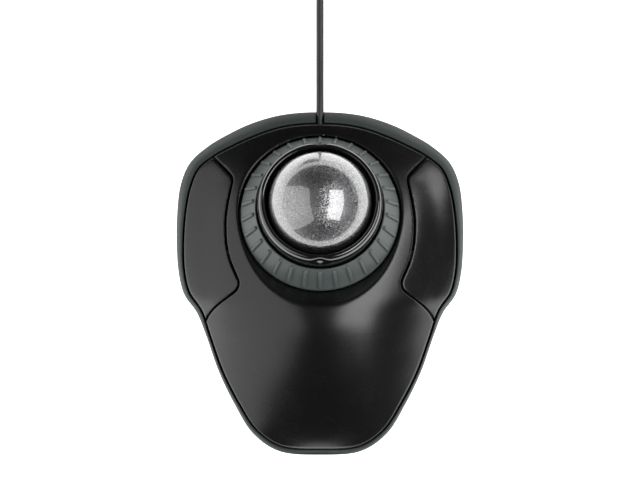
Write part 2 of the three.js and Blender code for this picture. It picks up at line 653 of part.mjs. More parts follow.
const chip = box(9, 9, 1.4, 0, -14, BOARD_BOTTOM + BOARD_THICKNESS + 1);
mouse.add(mainBoard(), mesh('controller_chip', chip, darkPlastic));
mouse.add(cableGrommet(), ...innerCable());
mouse.add(mesh('cable', tube(CABLE_ROUTE, CABLE_RADIUS, 14), cableJacket), cableCoil(), cableTie());
mouse.add(mesh('cable_tail', tube(TAIL_ROUTE, CABLE_RADIUS, 3), cableJacket), ...plug());

export default mouse;
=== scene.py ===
"""Looks of a corded trackball mouse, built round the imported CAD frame.

Metres in Blender; the shape functions work in millimetres, in the same frame: +Z up, +Y to the cable end.
"""
import json
import math

import bmesh
import bpy
import numpy as np
from mathutils import Matrix, Vector
from mathutils.geometry import delaunay_2d_cdt
from mathutils.kdtree import KDTree

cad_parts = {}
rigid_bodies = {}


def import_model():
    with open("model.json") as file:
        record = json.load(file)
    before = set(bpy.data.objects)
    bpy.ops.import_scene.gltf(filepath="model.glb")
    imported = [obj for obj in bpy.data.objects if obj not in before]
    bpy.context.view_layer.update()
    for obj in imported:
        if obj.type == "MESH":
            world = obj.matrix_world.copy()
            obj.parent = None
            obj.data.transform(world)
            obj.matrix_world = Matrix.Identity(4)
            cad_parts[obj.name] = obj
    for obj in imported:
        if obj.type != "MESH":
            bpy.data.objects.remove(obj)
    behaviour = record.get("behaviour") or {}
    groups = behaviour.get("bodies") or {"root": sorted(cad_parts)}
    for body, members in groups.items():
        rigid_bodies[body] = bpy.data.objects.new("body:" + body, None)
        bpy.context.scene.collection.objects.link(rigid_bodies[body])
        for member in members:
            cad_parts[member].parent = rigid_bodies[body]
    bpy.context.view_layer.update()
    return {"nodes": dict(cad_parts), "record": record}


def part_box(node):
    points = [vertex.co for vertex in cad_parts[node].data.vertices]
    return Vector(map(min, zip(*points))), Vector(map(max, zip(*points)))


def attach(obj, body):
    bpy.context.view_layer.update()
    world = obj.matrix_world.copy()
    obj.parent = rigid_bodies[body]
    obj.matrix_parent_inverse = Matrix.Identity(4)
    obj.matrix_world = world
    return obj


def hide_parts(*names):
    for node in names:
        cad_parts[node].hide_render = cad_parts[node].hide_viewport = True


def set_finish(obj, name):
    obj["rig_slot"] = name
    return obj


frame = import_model()

MM = 0.001

# ---------------------------------------------------------------- driving dimensions, in millimetres

# Right half of the housing's outline, from the cable end to the front: x, y, width of the bumper band.
OUTLINE = [
    (0, 67.9, 4.4), (10, 67.5, 4.5), (19, 66, 4.75), (28.5, 62.9, 5), (37, 58.8, 4.8), (44.6, 54.2, 4.4),
    (51.5, 47.9, 4), (55.2, 39.5, 3.9), (56.6, 29, 3.2), (56.9, 17, 2.6), (56.2, 5, 2.2),
    (53.9, -4.4, 2.1), (48.8, -11.8, 1.9), (45.1, -21, 1.3), (40.1, -35.2, 1.3), (33.8, -48.2, 1.5),
    (26.6, -59.6, 1.8), (15.8, -66.8, 1.9), (0, -68.1, 1.9),
]
# Height of the housing along its middle: y, z.
CREST = [
    (72, 5.4), (64, 8.6), (58.5, 11.9), (51, 15.6), (43, 19.6), (35, 23.2), (27.5, 26.2), (18, 29.2),
    (9, 31.4), (1.5, 32.6), (-4, 32.8), (-9, 32.5), (-16, 31.2), (-24, 28.6), (-36, 23.8), (-47, 18.6),
    (-55, 14.2), (-60.5, 10.6), (-65, 6.6), (-72, -2),
]
# Seam round the right button, from the cable end to the front: x, y.
SEAM = [
    (56, 63.6), (49, 56.6), (42.2, 49.8), (35.6, 43.2), (34.4, 40.9), (34.9, 37.5), (36, 32), (36.8, 26.5),
    (36.9, 21), (36.4, 15), (35, 9.2), (32.5, 3.2), (31.7, 1), (31.9, -1.2), (33.2, -3), (36.4, -5.4),
    (40.4, -8.5), (43.3, -11.6), (45.3, -15.2), (47, -19.5),
]
EDGE_HEIGHT = 7.2
EDGE_RISE = 0.018
SHOULDER_POWER = 2.1
SKIN = 2.2
EDGE_GAP = 0.8
SEAM_GAP = 0.8
UNDERSIDE = 1.2
TILT = math.radians(15.5)
RING_DROP = 13.8
RING_OUTER = 31
RING_INNER = 24.6
RING_RISE = 9.2
RING_RIBS = 30
WELL_RADIUS = 31.7
WELL_FLARE = 0.4
WELL_FILLET = 0.35
WELL_DEPTH = 4
CABLE_RADIUS = 1.5

ball_low, ball_high = (np.array(corner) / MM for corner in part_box("trackball"))
BALL = Vector((0, (ball_low[1] + ball_high[1]) / 2, (ball_low[2] + ball_high[2]) / 2))
BALL_RADIUS = 20
AXIS = Vector((0, math.sin(TILT), math.cos(TILT)))
WELL_CENTRE = BALL - AXIS * RING_DROP

# ---------------------------------------------------------------- camera

# Metres: the camera looks straight down at a point a little behind the housing's middle.
CAMERA_HEIGHT = 1.0
VIEW_MIDDLE_Y = 0.01715

camera_data = bpy.data.cameras.new("camera")
camera_data.lens = 141.3
camera_data.sensor_width = 36
camera = bpy.data.objects.new("camera", camera_data)
camera.location = (0, VIEW_MIDDLE_Y, CAMERA_HEIGHT)
bpy.context.collection.objects.link(camera)
bpy.context.scene.camera = camera

# ---------------------------------------------------------------- mesh helpers


def add_object(name, vertices, faces, sharp_angle=40):
    """A smooth-shaded mesh object from points in millimetres."""
    mesh = bpy.data.meshes.new(name)
    mesh.from_pydata([tuple(point) for point in np.asarray(vertices, float) * MM], [], faces)
    mesh.validate()
    mesh.shade_smooth()
    mesh.set_sharp_from_angle(angle=math.radians(sharp_angle))
    obj = bpy.data.objects.new(name, mesh)
    bpy.context.collection.objects.link(obj)
    return obj


def grid_faces(rows, count, wrap_rows=False, start=0):
    """Quads between rows of points that close on themselves."""
    faces = []
    for row in range(rows if wrap_rows else rows - 1):
        low, high = row * count + start, ((row + 1) % rows) * count + start
        for k in range(count):
            j = (k + 1) % count
            faces.append((low + k, low + j, high + j, high + k))
    return faces


def rounded(profile, radius, steps=5, closed=True):
    """The profile with each corner replaced by a small curve."""
    points = []
    count = len(profile)
    for i, corner in enumerate(profile):
        if not closed and i in (0, count - 1):
            points.append(tuple(corner))
            continue
        here = np.array(corner, float)
        before = np.array(profile[i - 1], float) - here
        after = np.array(profile[(i + 1) % count], float) - here
        lengths = np.linalg.norm(before), np.linalg.norm(after)
        reach = min(radius, 0.45 * min(lengths))
        start, end = here + before / lengths[0] * reach, here + after / lengths[1] * reach
        for step in range(steps + 1):
            t = step / steps
            points.append(tuple((1 - t) ** 2 * start + 2 * t * (1 - t) * here + t * t * end))
    return points


def turned(name, profile, sides, matrix, closed=True, sharp_angle=40):
    """A body turned about the local Z axis; a profile that isn't closed starts and ends on the axis."""
    angles = np.arange(sides) * 2 * math.pi / sides
    rows = profile if closed else profile[1:-1]
    vertices = [
        matrix @ Vector((r * math.cos(a), r * math.sin(a), z)) for r, z in rows for a in angles
    ]
    faces = grid_faces(len(rows), sides, wrap_rows=closed)
    if not closed:
        for (_, z), row, turn in ((profile[0], 0, -1), (profile[-1], len(rows) - 1, 1)):
            vertices.append(matrix @ Vector((0, 0, z)))
            ring = [row * sides + k for k in range(sides)][::turn]
            faces += [(ring[k], ring[(k + 1) % sides], len(vertices) - 1) for k in range(sides)]
    return add_object(name, vertices, faces, sharp_angle)


def rounded_box(name, size, centre, radius, steps=3):
    """A box whose edges are rounded."""
    obj = add_object(name, [(0, 0, 0)], [])
    builder = bmesh.new()
    bmesh.ops.create_cube(builder, size=1)
    bmesh.ops.scale(builder, vec=Vector(size) * MM, verts=builder.verts)
    bevel = {"offset": radius * MM, "segments": steps, "affect": "EDGES", "profile": 0.5}
    bmesh.ops.bevel(builder, geom=builder.edges, **bevel)
    bmesh.ops.translate(builder, vec=Vector(centre) * MM, verts=builder.verts)
    builder.to_mesh(obj.data)
    builder.free()
    obj.data.shade_smooth()
    obj.data.set_sharp_from_angle(angle=math.radians(50))
    return obj


def cut(obj, cutter):
    """Cuts one closed mesh out of another, and removes the cutter."""
    modifier = obj.modifiers.new("cut", "BOOLEAN")
    modifier.operation = "DIFFERENCE"
    modifier.solver = "EXACT"
    modifier.object = cutter
    evaluated = obj.evaluated_get(bpy.context.evaluated_depsgraph_get())
    result = bpy.data.meshes.new_from_object(evaluated)
    obj.modifiers.clear()
    obj.data = result
    bpy.data.objects.remove(cutter)
    obj.data.shade_smooth()
    obj.data.set_sharp_from_angle(angle=math.radians(35))


def join(name, pieces):
    """One object from several that don't share vertices."""
    builder = bmesh.new()
    for piece in pieces:
        builder.from_mesh(piece.data)
        bpy.data.objects.remove(piece)
    mesh = bpy.data.meshes.new(name)
    builder.to_mesh(mesh)
    builder.free()
    mesh.shade_smooth()
    mesh.set_sharp_from_angle(angle=math.radians(40))
    obj = bpy.data.objects.new(name, mesh)
    bpy.context.collection.objects.link(obj)
    return obj


def place(obj, body, slot, *replaced):
    """Declares a visible piece: its body, its material slot and the CAD nodes it stands for."""
    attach(obj, body)
    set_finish(obj, slot)
    if replaced:
        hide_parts(*replaced)
    return obj


# ---------------------------------------------------------------- cable

CABLE_ROUTE = [
    (0, 62.5, 5.3), (0, 66, 5.3), (0, 70, 5.1), (0, 75, 4.4), (0, 80, 3.4), (0, 85, 2.5), (0, 91, 1.9),
    (0, 98, 1.65), (0, 106, 1.6), (0, 115, 1.65), (0, 124, 1.9), (0, 134, 2.4),
]
TAIL_ROUTE = [
    (-28.6, 168.5, 5.3), (-34.7, 168.5, 4.9), (-37.5, 168.5, 4.6), (-40.5, 168.5, 4.3), (-43.6, 168.5, 4.2),
]
COIL_CENTRE = (-22.5, 146)
COIL_RADIUS = 18
COIL_TURNS = 15.25
COIL_PITCH = 2 * CABLE_RADIUS * 1.01
# Height of the lowest layer, and the column that COIL_RADIUS is measured to.
COIL_LOWEST = 2.45
MIDDLE_COLUMN = 1.5
TURN_STEPS = 24
# Share of each turn in which the cable crosses over to its next place.
CROSSING = 0.25
# Order in which the turns fill the coil's section: column from the outside in, layer from the bottom up.
WINDING = [
    (0, 0), (1, 0), (2, 0), (3, 0), (3, 1), (3, 2), (3, 3), (2, 3), (1, 3), (0, 3), (0, 2), (1, 2),
    (2, 2), (2, 1), (1, 1), (0, 1),
]


def coil_points():
    """Each turn keeps its place in the section until its last part, where it crosses to the next one."""
    points = []
    for step in range(round(COIL_TURNS * TURN_STEPS) + 1):
        turn, part = divmod(step / TURN_STEPS, 1)
        here = np.array(WINDING[int(turn)], float)
        after = np.array(WINDING[min(int(turn) + 1, len(WINDING) - 1)], float)
        t = min(max((part - 1 + CROSSING) / CROSSING, 0), 1)
        column, layer = here + (after - here) * t * t * (3 - 2 * t)
        reach = COIL_RADIUS + COIL_PITCH * (MIDDLE_COLUMN - column)
        angle = 2 * math.pi * step / TURN_STEPS
        x = COIL_CENTRE[0] + reach * math.cos(angle)
        y = COIL_CENTRE[1] + reach * math.sin(angle)
        points.append((x, y, COIL_LOWEST + COIL_PITCH * layer))
    return points


def make_cable():
    """A round tube swept along the cable's whole line, kept as a mesh."""
    curve = bpy.data.curves.new("cable_line", "CURVE")
    curve.dimensions = "3D"
    curve.bevel_depth = CABLE_RADIUS * MM
    curve.bevel_resolution = 5
    curve.use_fill_caps = True
    spline = curve.splines.new("POLY")
    spline.points.add(len(cable_line) - 1)
    for point, target in zip(spline.points, cable_line):
        point.co = (*(Vector(target) * MM), 1)
    spline.use_smooth = True
    line = bpy.data.objects.new("cable_line", curve)
    bpy.context.collection.objects.link(line)
    mesh = bpy.data.meshes.new_from_object(line.evaluated_get(bpy.context.evaluated_depsgraph_get()))
    mesh.shade_smooth()
    mesh.set_sharp_from_angle(angle=math.radians(50))
    bpy.data.objects.remove(line)
    tube = bpy.data.objects.new("usb_cable", mesh)
    bpy.context.collection.objects.link(tube)
    return tube


cable_line = CABLE_ROUTE + coil_points() + TAIL_ROUTE
cable = make_cable()
place(cable, "housing", "cable_jacket", "cable", "cable_coil", "cable_tail")

# ---------------------------------------------------------------- the housing's surface


def catmull_rom(points, closed, per_segment):
    """Uniform Catmull-Rom curve through points, with its tangents."""
    table = np.array(points, float)
    count = len(table)
    segments = count if closed else count - 1
    where = np.arange(segments * per_segment + (0 if closed else 1)) / per_segment
    index = np.minimum(where.astype(int), segments - 1)
    t = (where - index)[:, None]

    def at(offset):
        k = index + offset
        return table[k % count] if closed else table[np.clip(k, 0, count - 1)]

    a, b, c, d = at(-1), at(0), at(1), at(2)
    rate, bend, twist = c - a, 2 * a - 5 * b + 4 * c - d, 3 * b - a - 3 * c + d
    value = 0.5 * (2 * b + rate * t + bend * t**2 + twist * t**3)
    tangent = 0.5 * (rate + 2 * bend * t + 3 * twist * t**2)
    return value, tangent[:, :2] / np.linalg.norm(tangent[:, :2], axis=1)[:, None]


FULL_OUTLINE = OUTLINE + [(-x, y, band) for x, y, band in OUTLINE[-2:0:-1]]
HALF_STEPS = 20
WHOLE, _ = catmull_rom(FULL_OUTLINE, True, HALF_STEPS)
HALF = WHOLE[: HALF_STEPS * (len(OUTLINE) - 1) + 1][::-1]


def half_width(y):
    """Distance from the housing's middle to its edge, at y."""
    return np.maximum(np.interp(y, HALF[:, 1], HALF[:, 0]), 0.01)


def curve_through(points, at):
    """Smooth curve through (position, value) points whose positions fall, at an array of positions."""
    positions, values = np.array(points, float).T
    slopes = np.gradient(values, positions)
    slopes[1:-1] = (values[2:] - values[:-2]) / (positions[2:] - positions[:-2])
    before = len(positions) - np.searchsorted(positions[::-1], at, side="left") - 1
    i = np.clip(before, 1, len(positions) - 3)
    span = positions[i + 1] - positions[i]
    t = (at - positions[i]) / span
    return (
        values[i] * (1 + 2 * t) * (1 - t) ** 2 + slopes[i] * span * t * (1 - t) ** 2
        + values[i + 1] * t * t * (3 - 2 * t) + slopes[i + 1] * span * t * t * (t - 1)
    )


def skin_height(x, y):
    """Height of the outer skin: a rounded hump, cut by the flared well that the ring sits in."""
    x, y = np.asarray(x, float), np.asarray(y, float)
    edge = EDGE_HEIGHT + EDGE_RISE * y
    across = np.minimum(np.abs(x) / half_width(y), 1)
    hump = edge + (curve_through(CREST, y) - edge) * (1 - across**SHOULDER_POWER)
    back = y - WELL_CENTRE.y
    reach = np.hypot(x, back / math.cos(TILT)) - WELL_RADIUS
    well = WELL_CENTRE.z - back * math.tan(TILT) + WELL_FLARE * reach
    return (hump + well - np.hypot(hump - well, WELL_FILLET)) / 2


def outline_ring(per_segment, inset):
    """Points x, y of the outline moved inwards by inset, a function of the band's width there."""
    value, tangent = catmull_rom(FULL_OUTLINE, True, per_segment)
    move = inset(value[:, 2])[:, None] if callable(inset) else inset
    return value[:, :2] + np.stack([tangent[:, 1], -tangent[:, 0]], 1) * move, value[:, 2]


def inside(points, polygon):
    """Which points lie inside a closed polygon."""
    x, y = points[:, :1], points[:, 1:]
    x0, y0 = polygon[:, 0][None], polygon[:, 1][None]
    x1, y1 = np.roll(x0, -1), np.roll(y0, -1)
    crosses = (y0 > y) != (y1 > y)
    at = x0 + (y - y0) * (x1 - x0) / np.where(y1 == y0, 1e-9, y1 - y0)
    return (crosses & (x < at)).sum(1) % 2 == 1


def seam_line(side, grow):
    """The seam on one side (1 right, -1 left), moved away from the button by grow."""
    value, tangent = catmull_rom(SEAM, False, 8)
    line = value + np.stack([tangent[:, 1], -tangent[:, 0]], 1) * grow
    return line * (side, 1)


def button_outline(side, grow):
    """The seam closed round the outside of the housing."""
    line = seam_line(side, grow)
    beyond = side * 80
    return np.vstack([line, (beyond, line[-1, 1]), (beyond, line[0, 1])])


def well_ring(radius, count):
    """The plan of a circle round the well's leaning axis."""
    angle = np.arange(count) * 2 * math.pi / count
    return np.stack([radius * np.cos(angle), WELL_CENTRE.y + radius * math.cos(TILT) * np.sin(angle)], 1)


OUTLINE_STEPS = 16
WELL_SIDES = 280
# Rows of points beside the borders, by distance from them in millimetres.
EDGE_ROWS = (0, 0.04, 0.13, 0.27, 0.5, 0.9)
WELL_ROWS = (0.12, 0.3, 0.6, 1.1, 1.8, 2.6, 3.4, 4.2, 5, 5.8, 6.6, 7.4, 8.3, 9.3, 10.3)
WELL_ROW_SIDES = 240
# A triangular grid fills the rest. It stays clear of the borders and of the rows round the well.
GRID_STEP = 1.7
GRID_CLEARANCE = 1.5
GRID_WELL_RADIUS = 43


def well_distance(x, y):
    """Distance from the well's leaning axis, on its slanted plane."""
    return np.hypot(x, (y - WELL_CENTRE.y) / math.cos(TILT))


def cover_edge(beyond=0):
    """The outer edge of the cover and buttons, or a line inside it."""
    return outline_ring(OUTLINE_STEPS, lambda band: band + EDGE_GAP + beyond)[0]


def skin_triangles():
    """Plan of the skin: triangles that follow the housing's edge, the well and each seam's two sides."""
    edge = cover_edge()
    well = well_ring(WELL_RADIUS, WELL_SIDES)
    points, lines = [], []

    def add(line, closed, constrain):
        start = len(points)
        points.extend(map(tuple, line))
        count = len(line)
        last = count if closed else count - 1
        if constrain:
            lines.extend((start + k, start + (k + 1) % count) for k in range(last))

    add(edge, True, True)
    add(well, True, True)
    borders = [edge, well]
    for side in (1, -1):
        for grow in (SEAM_GAP / 2, -SEAM_GAP / 2):
            line = seam_line(side, grow)
            add(line, False, True)
            borders.append(line)
    for depth in EDGE_ROWS[1:]:
        add(cover_edge(depth), True, False)
        for side in (1, -1):
            add(seam_line(side, SEAM_GAP / 2 + depth), False, False)
            add(seam_line(side, -SEAM_GAP / 2 - depth), False, False)
    for beyond in WELL_ROWS:
        add(well_ring(WELL_RADIUS + beyond, WELL_ROW_SIDES), True, False)
    rows = np.arange(-70, 70, GRID_STEP * math.sqrt(3) / 2)
    columns = np.arange(-60, 60, GRID_STEP)
    grid = np.array([(x + (k % 2) * GRID_STEP / 2, y) for k, y in enumerate(rows) for x in columns])
    tree = KDTree(sum(len(border) for border in borders))
    for k, (x, y) in enumerate(np.vstack(borders)):
        tree.insert((x, y, 0), k)
    tree.balance()
    clear = np.array([tree.find((x, y, 0))[2] > GRID_CLEARANCE for x, y in grid])
    outside_well = well_distance(*grid.T) > GRID_WELL_RADIUS
    add(grid[clear & outside_well], False, False)
    vertices, _, faces, *_ = delaunay_2d_cdt([Vector(p) for p in points], lines, [], 0, 1e-5)
    return np.array([tuple(v) for v in vertices]), np.array([tuple(f) for f in faces])


EDGE_ROUND = 0.5
# Border edges looked at near each point, and how near the well's rim a point belongs to its wall.
NEIGHBOURS = 4
ON_WELL = 0.02


def border_distance(plan, edges):
    """Distance of each plan point from the nearest border edge."""
    starts, ends = plan[edges[:, 0]], plan[edges[:, 1]]
    tree = KDTree(len(edges))
    for k, (x, y) in enumerate((starts + ends) / 2):
        tree.insert((x, y, 0), k)
    tree.balance()
    distance = np.empty(len(plan))
    for i, point in enumerate(plan):
        near = [index for _, index, _ in tree.find_n((*point, 0), NEIGHBOURS)]
        a, b = starts[near], ends[near]
        along = b - a
        t = np.clip(((point - a) * along).sum(1) / (along**2).sum(1), 0, 1)
        distance[i] = np.hypot(*(a + along * t[:, None] - point).T).min()
    return distance


def skin_piece(name, plan, faces, dish=None):
    """A closed shell over part of the skin, with a rounded upper edge."""
    used, faces = np.unique(faces, return_inverse=True)
    faces = faces.reshape(-1, 3)
    plan = plan[used]
    corners = plan[faces]
    first, second = corners[:, 1] - corners[:, 0], corners[:, 2] - corners[:, 0]
    clockwise = first[:, 0] * second[:, 1] < first[:, 1] * second[:, 0]
    faces[clockwise] = faces[clockwise][:, ::-1]
    directed = np.vstack([faces[:, [0, 1]], faces[:, [1, 2]], faces[:, [2, 0]]])
    pairs = {tuple(edge) for edge in directed}
    border = np.array([edge for edge in directed if (edge[1], edge[0]) not in pairs])
    distance = border_distance(plan, border)
    height = skin_height(*plan.T)
    if dish:
        height = height - dish(distance)
    lack = np.clip(EDGE_ROUND - distance, 0, EDGE_ROUND)
    top = np.column_stack([plan, height - EDGE_ROUND + np.sqrt(EDGE_ROUND**2 - lack**2)])
    bottom = np.column_stack([plan, skin_height(*plan.T) - SKIN])
    on_well = well_distance(*plan.T) < WELL_RADIUS + ON_WELL
    lowered = top - np.array(AXIS) * WELL_DEPTH
    bottom[on_well] = lowered[on_well]
    count = len(plan)
    all_faces = [tuple(int(k) for k in f) for f in faces]
    all_faces += [tuple(int(k) + count for k in f[::-1]) for f in faces]
    all_faces += [(int(b), int(a), int(a) + count, int(b) + count) for a, b in border]
    return add_object(name, np.vstack([top, bottom]), all_faces, 50)


# Finger hollow: its depth, the flat border round it and the width of its slope.
DISH_DEPTH = 0.4
DISH_BORDER = 1
DISH_SLOPE = 7


def button_dish(distance):
    """The finger hollow's depth at a distance from the button's border."""
    t = np.clip((distance - DISH_BORDER) / DISH_SLOPE, 0, 1)
    return DISH_DEPTH * t**2 * (3 - 2 * t)


def make_skin():
    """The palm cover and the two buttons, cut from one skin."""
    plan, faces = skin_triangles()
    middle = plan[faces].mean(1)
    on_skin = inside(middle, cover_edge()) & ~inside(middle, well_ring(WELL_RADIUS, WELL_SIDES))
    cover = on_skin.copy()
    buttons = {}
    for side, name in ((-1, "left"), (1, "right")):
        cover &= ~inside(middle, button_outline(side, SEAM_GAP / 2))
        buttons[name] = on_skin & inside(middle, button_outline(side, -SEAM_GAP / 2))
    shell = skin_piece("palm_cover", plan, faces[cover])
    place(shell, "housing", "soft_black", "top_cover")
    for name, part in buttons.items():
        button = skin_piece(f"{name}_click_button", plan, faces[part], button_dish)
        place(button, f"{name}_button", "soft_black", f"{name}_button")


make_skin()

# ---------------------------------------------------------------- bumper and lower shell

FLOOR = 3.2
FLANK_FOOT = 3.4
# How far the band's top lies under the skin, and the height of the inner lip as a share of the skin's.
BAND_DROP = 0.15
LIP_SHARE = 0.8
# Rounded lower edge: how far in from the outline, height over the underside.
LOWER_EDGE = [(1.6, 0), (1.1, 0), (0.6, 0.2), (0.2, 0.8), (0.04, 1.5)]
# Section of the bumper band: share of its width from outside in, share of the height from the flank's foot.
BUMPER_SECTION = [
    (0, 0), (0.07, 0.22), (0.2, 0.5), (0.36, 0.74), (0.5, 0.89), (0.62, 0.965), (0.74, 1), (0.86, 0.995),
    (0.95, 0.96), (1, 0.9),
]


SHELL_STEPS = 24
CABLE_NOTCH_SIZE = (3.5, 12, 20)
CABLE_NOTCH_CENTRE = (0, 66, 13.6)


def make_lower_shell():
    """The tray with the bumper band round it, from closed rows of points, outside first."""
    rings = []

    def ring(inset, height):
        points, _ = outline_ring(SHELL_STEPS, inset)
        level = height(points) if callable(height) else np.full(len(points), height)
        rings.append(np.column_stack([points, level]))

    def flank(share, drop=0):
        return lambda points: FLANK_FOOT + (skin_height(*points.T) - drop - FLANK_FOOT) * share

    for inset, rise in LOWER_EDGE:
        ring(inset, UNDERSIDE + rise)
    section, _ = catmull_rom(BUMPER_SECTION, False, 3)
    for across, up in section:
        ring(lambda band: band * across, flank(up, BAND_DROP))
    ring(lambda band: band + 0.05, flank(LIP_SHARE))
    ring(lambda band: band + 0.2, FLOOR)
    count = len(rings[0])
    vertices = np.vstack(rings + [[(0, 0, UNDERSIDE)], [(0, 0, FLOOR)]])
    faces = grid_faces(len(rings), count)
    last = (len(rings) - 1) * count
    faces += [((k + 1) % count, k, len(vertices) - 2) for k in range(count)]
    faces += [(last + k, last + (k + 1) % count, len(vertices) - 1) for k in range(count)]
    faces = [face[::-1] for face in faces]
    shell = add_object("bumper_shell", vertices, faces, 35)
    cut(shell, rounded_box("notch", CABLE_NOTCH_SIZE, CABLE_NOTCH_CENTRE, 0.5))
    return shell


place(make_lower_shell(), "housing", "bumper_plastic", "base_shell")

# ---------------------------------------------------------------- ring, collar and ball

# Moves shapes made round the Z axis onto the ball's leaning axis, with the ball's centre at 0.
LEAN = Matrix.Translation(BALL) @ Matrix.Rotation(-TILT, 4, "X")
RIB_HEIGHT = 0.95
RIB_HALF_WIDTH = 0.85
RIB_LOW_END = 1.1
RIB_HIGH_END = 1.0
# Radius at which distances across a rib are turned into angles.
RIB_CIRCLE = 28
RIB_CLEAR = 1.4
# Inside of the ring, as radii: its ledge over the encoder ring, and the skirt under its rim.
LEDGE_RADIUS = 26.2
SKIRT_RADIUS = 28.6
RIM_HEIGHT = 0.9
RING_EDGE_ROUND = 0.35


def rib_lift(around, along, length):
    """Height of a round-ended rib at a distance across it and a place along the slope."""
    start, end = RIB_LOW_END + RIB_HALF_WIDTH, length - RIB_HIGH_END - RIB_HALF_WIDTH
    distance = math.hypot(around, along - min(max(along, start), end)) / RIB_HALF_WIDTH
    if distance >= 1:
        return 0
    return RIB_HEIGHT * math.sqrt(1 - distance * distance)


def make_scroll_ring():
    """Rows of points up the ribbed slope, then down the plain inside."""
    outer = np.array((RING_OUTER, -RING_DROP))
    inner = np.array((RING_INNER + 0.5, RING_RISE - RING_DROP))
    length = np.linalg.norm(inner - outer)
    slope = (inner - outer) / length
    normal = np.array((slope[1], -slope[0]))
    bottom, top = -RING_DROP - 1.6, RING_RISE - RING_DROP
    rim = -RING_DROP - RIM_HEIGHT
    corners = [
        inner, (RING_INNER, top - 0.3), (RING_INNER, bottom), (LEDGE_RADIUS, bottom),
        (LEDGE_RADIUS, top - 4.6), (SKIRT_RADIUS, rim), (RING_OUTER, rim), outer,
    ]
    inside_wall = rounded(corners, 0.25, 4, closed=False)
    near_end = [0.02, 0.1, 0.25, 0.45]
    far_end = [length - 0.4, length - 0.2, length - 0.05]
    rise = [*near_end, *np.linspace(0.7, length - 0.7, 34), *far_end]
    pitch = 2 * math.pi / RING_RIBS
    on_rib = RIB_HALF_WIDTH * 1.12 * np.sin(np.linspace(-math.pi / 2, math.pi / 2, 19))
    between = np.linspace(RIB_CLEAR, RIB_CIRCLE * pitch - RIB_CLEAR, 6)
    across = np.concatenate([on_rib, between]) / RIB_CIRCLE
    angles = [pitch * (rib + 0.5) + offset for rib in range(RING_RIBS) for offset in across]
    rows = []
    for along in rise:
        end = min(along, length - along)
        lack = max(RING_EDGE_ROUND - end, 0)
        dip = RING_EDGE_ROUND - math.sqrt(max(RING_EDGE_ROUND**2 - lack**2, 0))
        radius, height = outer + slope * along
        row = []
        for k, angle in enumerate(angles):
            lift = rib_lift(across[k % len(across)] * radius, along, length) - dip
            r, z = radius + normal[0] * lift, height + normal[1] * lift
            row.append(LEAN @ Vector((r * math.cos(angle), r * math.sin(angle), z)))
        rows.append(row)
    for r, z in inside_wall:
        rows.append([LEAN @ Vector((r * math.cos(a), r * math.sin(a), z)) for a in angles])
    faces = grid_faces(len(rows), len(angles), wrap_rows=True)
    vertices = [point for row in rows for point in row]
    return add_object("ribbed_scroll_ring", vertices, faces, 50)


place(make_scroll_ring(), "ring", "ring_plastic", "scroll_ring")

# The collar's bead is a quarter of an ellipse: radius and height of its centre, then its half axes.
BEAD_CENTRE = (22.4, -0.6)
BEAD_WIDTH = 1.8
BEAD_HEIGHT = 4.7
# Thumb notches pinch the bead at its front and back middle: depth, and spread in radians.
COLLAR_PINCH = 1.0
COLLAR_PINCH_SPREAD = 0.11


def make_collar():
    """The bead and the lip inside it, turned as one, then pinched."""
    bead = [
        (BEAD_CENTRE[0] + BEAD_WIDTH * math.cos(a), BEAD_CENTRE[1] + BEAD_HEIGHT * math.sin(a))
        for a in np.linspace(0, math.pi / 2, 24)
    ]
    corners = [(21.5, 3.9), (21.1, 3.1), (21.1, -0.9), (23.3, -0.9), (23.3, -4.4), (24.2, -4.4)]
    lip = rounded([bead[-1], *corners, bead[0]], 0.4, 5, closed=False)
    collar = turned("bead_collar", bead[:-1] + lip[:-1], 360, LEAN, sharp_angle=60)
    to_local = LEAN.inverted()
    for vertex in collar.data.vertices:
        x, y, z = to_local @ (vertex.co / MM)
        r = math.hypot(x, y)
        off_middle = math.asin(min(abs(x) / r, 1))
        outward = min(max((r - 21.6) / 2.6, 0), 1)
        upward = min(max((z + 1.5) / 3, 0), 1)
        depth = COLLAR_PINCH * math.exp(-((off_middle / COLLAR_PINCH_SPREAD) ** 2))
        pinch = 1 - depth * outward * upward / r
        vertex.co = (LEAN @ Vector((x * pinch, y * pinch, z))) * MM
    return collar


place(make_collar(), "housing", "gloss_black", "socket_collar")


def make_ball():
    angles = np.linspace(0, math.pi, 97)
    profile = [(BALL_RADIUS * math.sin(a), -BALL_RADIUS * math.cos(a)) for a in angles]
    return turned("speckled_ball", profile, 192, LEAN, closed=False, sharp_angle=60)


place(make_ball(), "ball", "ball_lacquer", "trackball")

# ---------------------------------------------------------------- small outer pieces


def low_high(node):
    """The CAD node's lowest and highest corner, in millimetres."""
    return (np.array(corner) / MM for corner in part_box(node))


def make_foot(node):
    """A round pad with a softened lower edge, at the place of a CAD foot."""
    low, high = low_high(node)
    radius = (high[0] - low[0]) / 2
    top = high[2]
    side = rounded([(radius - 0.9, 0), (radius, 0), (radius, top)], 0.35, 5, closed=False)
    profile = [(0, 0), *side, (0, top)]
    spot = Matrix.Translation(Vector(((low[0] + high[0]) / 2, (low[1] + high[1]) / 2, 0)))
    return turned(f"{node}_pad", profile, 64, spot, closed=False)


for number in range(1, 6):
    place(make_foot(f"rubber_foot_{number}"), "housing", "foot_rubber", f"rubber_foot_{number}")


def make_tie():
    """A flat strap round the coil, 0.5 mm thick."""
    low, high = low_high("cable_tie")
    middle, size = (low + high) / 2, high - low
    strap = rounded_box("velcro_tie", size, middle, 0.45)
    cut(strap, rounded_box("hole", (size[0] - 1, size[1] + 2, size[2] - 1), middle, 0.4))
    return strap


place(make_tie(), "housing", "black_rubber", "cable_tie")


GRIP_SIZE = (22, 13.6, 8)
GROOVE_SIZE = (0.9, 9, 0.8)
GROOVES = 5
GROOVE_PITCH = 2.4
NECK_RIDGES = 4
RIDGE_PITCH = 1.8


